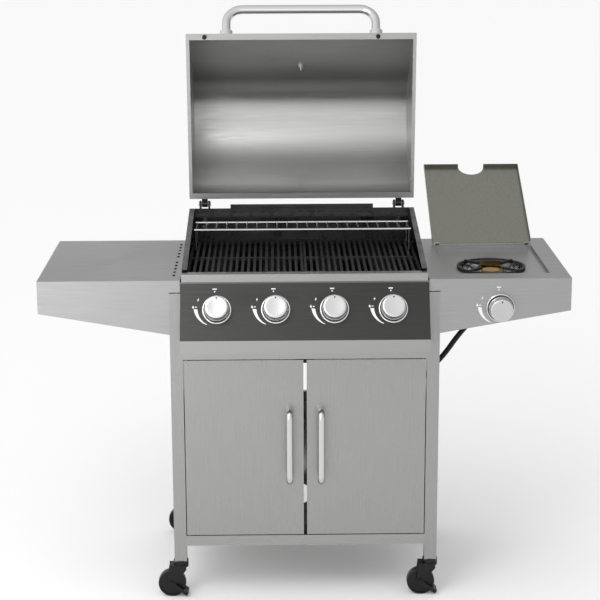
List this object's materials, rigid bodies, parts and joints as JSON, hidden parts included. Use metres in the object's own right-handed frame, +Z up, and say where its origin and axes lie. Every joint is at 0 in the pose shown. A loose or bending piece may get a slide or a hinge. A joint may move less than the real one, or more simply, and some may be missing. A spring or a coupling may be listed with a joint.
{
  "type": "gas barbecue grill",
  "caption": "Gas barbecue grill on a two-door cabinet cart with casters, tilting hood, grates, side shelf and a lidded side burner.",
  "frame": {"origin": "on the floor under the middle of the grill's bounding box, hood and side lid open", "axes": "+X to the grill's right-hand shelf with the side burner as seen from the front, +Y to the rear, +Z up"},
  "size_m": [1.18, 0.7008, 1.3125],
  "materials": {
    "brushed_steel": "brushed",
    "panel_steel": "dark brushed",
    "hood_steel": "brushed",
    "black_enamel": "satin enamel",
    "cast_iron": "matte",
    "chrome": "polished",
    "burner_steel": "satin",
    "brass": "machined",
    "caster_steel": "black",
    "wheel_plastic": "moulded",
    "rubber": "matte",
    "knob_metal": "chrome plated",
    "hardware": "plated",
    "lid_steel": "satin"
  },
  "bodies": {
    "cart": {"posts": "brushed_steel", "cart_side_panels": "brushed_steel", "cart_back_panel": "brushed_steel", "bottom_shelf": "brushed_steel", "cart_rails": "brushed_steel", "door_catches": "wheel_plastic", "control_panel": "panel_steel", "knob_bezels": "chrome", "burner_valves": "brass", "gas_manifold": "burner_steel", "hose_fittings": "brass", "gas_hose": "rubber", "firebox_side_walls": "black_enamel", "firebox_front_wall": "black_enamel", "firebox_rear_wall": "black_enamel", "main_burners": "burner_steel", "heat_tents": "burner_steel", "cooking_grates": "cast_iron", "warming_rack": "chrome", "hood_hinge_brackets": "black_enamel", "hinge_pins": "hardware", "left_shelf": "brushed_steel", "right_shelf": "brushed_steel", "side_burner_bowl": "chrome", "side_burner": "brass", "pot_trivet": "cast_iron", "fasteners": "hardware", "caster_stems": "caster_steel"},
    "hood": {"hood_shell": "hood_steel", "hood_end_caps": "hood_steel", "hood_handle": "chrome", "thermometer": "chrome", "hood_bumpers": "rubber", "hood_hinge_arms": "black_enamel"},
    "side_lid": {"side_burner_lid": "lid_steel"},
    "left_door": {"left_door": "brushed_steel", "left_door_handle": "chrome"},
    "right_door": {"right_door": "brushed_steel", "right_door_handle": "chrome"},
    "tray": {"grease_tray": "burner_steel"},
    "stem_main_1": {"stem_main_1": "brass"},
    "knob_main_1": {"knob_main_1": "knob_metal"},
    "stem_main_2": {"stem_main_2": "brass"},
    "knob_main_2": {"knob_main_2": "knob_metal"},
    "stem_main_3": {"stem_main_3": "brass"},
    "knob_main_3": {"knob_main_3": "knob_metal"},
    "stem_main_4": {"stem_main_4": "brass"},
    "knob_main_4": {"knob_main_4": "knob_metal"},
    "stem_side": {"stem_side": "brass"},
    "knob_side": {"knob_side": "knob_metal"},
    "fork_front_left": {"fork_front_left": "caster_steel"},
    "wheel_front_left": {"wheel_front_left": "wheel_plastic"},
    "brake_front_left": {"brake_front_left": "caster_steel"},
    "fork_front_right": {"fork_front_right": "caster_steel"},
    "wheel_front_right": {"wheel_front_right": "wheel_plastic"},
    "brake_front_right": {"brake_front_right": "caster_steel"},
    "fork_rear_left": {"fork_rear_left": "caster_steel"},
    "wheel_rear_left": {"wheel_rear_left": "wheel_plastic"},
    "fork_rear_right": {"fork_rear_right": "caster_steel"},
    "wheel_rear_right": {"wheel_rear_right": "wheel_plastic"}
  },
  "joints": [
    {"name": "hood_hinge", "type": "hinge", "parent": "cart", "child": "hood", "pos_m": [0, 0.15106, 0.838], "axis": [1, 0, 0], "range_deg": [0, 94]},
    {"name": "side_lid_hinge", "type": "hinge", "parent": "cart", "child": "side_lid", "pos_m": [0.43, 0.07706, 0.753], "axis": [1, 0, 0], "range_deg": [0, 152]},
    {"name": "left_door_hinge", "type": "hinge", "parent": "cart", "child": "left_door", "pos_m": [-0.265, -0.27544, 0.35], "axis": [0, 0, -1], "range_deg": [0, 110]},
    {"name": "right_door_hinge", "type": "hinge", "parent": "cart", "child": "right_door", "pos_m": [0.265, -0.27544, 0.35], "axis": [0, 0, 1], "range_deg": [0, 110]},
    {"name": "grease_tray_slide", "type": "slide", "parent": "cart", "child": "tray", "axis": [0, 1, 0], "range_m": [0, 0.3]},
    {"name": "push_main_1", "type": "slide", "parent": "cart", "child": "stem_main_1", "axis": [0, 0.8829, -0.4695], "range_m": [0, 0.003], "stiffness_N_per_m": 600},
    {"name": "turn_main_1", "type": "hinge", "parent": "stem_main_1", "child": "knob_main_1", "pos_m": [-0.1935, -0.32017, 0.69378], "axis": [0, -0.8829, 0.4695], "range_deg": [0, 165]},
    {"name": "push_main_2", "type": "slide", "parent": "cart", "child": "stem_main_2", "axis": [0, 0.8829, -0.4695], "range_m": [0, 0.003], "stiffness_N_per_m": 600},
    {"name": "turn_main_2", "type": "hinge", "parent": "stem_main_2", "child": "knob_main_2", "pos_m": [-0.0645, -0.32017, 0.69378], "axis": [0, -0.8829, 0.4695], "range_deg": [0, 165]},
    {"name": "push_main_3", "type": "slide", "parent": "cart", "child": "stem_main_3", "axis": [0, 0.8829, -0.4695], "range_m": [0, 0.003], "stiffness_N_per_m": 600},
    {"name": "turn_main_3", "type": "hinge", "parent": "stem_main_3", "child": "knob_main_3", "pos_m": [0.0645, -0.32017, 0.69378], "axis": [0, -0.8829, 0.4695], "range_deg": [0, 165]},
    {"name": "push_main_4", "type": "slide", "parent": "cart", "child": "stem_main_4", "axis": [0, 0.8829, -0.4695], "range_m": [0, 0.003], "stiffness_N_per_m": 600},
    {"name": "turn_main_4", "type": "hinge", "parent": "stem_main_4", "child": "knob_main_4", "pos_m": [0.1935, -0.32017, 0.69378], "axis": [0, -0.8829, 0.4695], "range_deg": [0, 165]},
    {"name": "push_side", "type": "slide", "parent": "cart", "child": "stem_side", "axis": [0, 1, 0], "range_m": [0, 0.003], "stiffness_N_per_m": 600},
    {"name": "turn_side", "type": "hinge", "parent": "stem_side", "child": "knob_side", "pos_m": [0.4335, -0.28794, 0.682], "axis": [0, -1, 0], "range_deg": [0, 165]},
    {"name": "swivel_front_left", "type": "hinge", "parent": "cart", "child": "fork_front_left", "pos_m": [-0.286, -0.26594, 0.078], "axis": [0, 0, 1], "continuous": true},
    {"name": "roll_front_left", "type": "hinge", "parent": "fork_front_left", "child": "wheel_front_left", "pos_m": [-0.307, -0.26594, 0.03175], "axis": [0, 1, 0], "continuous": true},
    {"name": "pedal_front_left", "type": "hinge", "parent": "fork_front_left", "child": "brake_front_left", "pos_m": [-0.307, -0.26594, 0.03175], "axis": [0, -1, 0], "range_deg": [0, 30]},
    {"name": "swivel_front_right", "type": "hinge", "parent": "cart", "child": "fork_front_right", "pos_m": [0.286, -0.26594, 0.078], "axis": [0, 0, 1], "continuous": true},
    {"name": "roll_front_right", "type": "hinge", "parent": "fork_front_right", "child": "wheel_front_right", "pos_m": [0.265, -0.26594, 0.03175], "axis": [0, 1, 0], "continuous": true},
    {"name": "pedal_front_right", "type": "hinge", "parent": "fork_front_right", "child": "brake_front_right", "pos_m": [0.265, -0.26594, 0.03175], "axis": [0, -1, 0], "range_deg": [0, 30]},
    {"name": "swivel_rear_left", "type": "hinge", "parent": "cart", "child": "fork_rear_left", "pos_m": [-0.286, 0.13606, 0.078], "axis": [0, 0, 1], "continuous": true},
    {"name": "roll_rear_left", "type": "hinge", "parent": "fork_rear_left", "child": "wheel_rear_left", "pos_m": [-0.307, 0.13606, 0.03175], "axis": [0, 1, 0], "continuous": true},
    {"name": "swivel_rear_right", "type": "hinge", "parent": "cart", "child": "fork_rear_right", "pos_m": [0.286, 0.13606, 0.078], "axis": [0, 0, 1], "continuous": true},
    {"name": "roll_rear_right", "type": "hinge", "parent": "fork_rear_right", "child": "wheel_rear_right", "pos_m": [0.265, 0.13606, 0.03175], "axis": [0, 1, 0], "continuous": true}
  ]
}
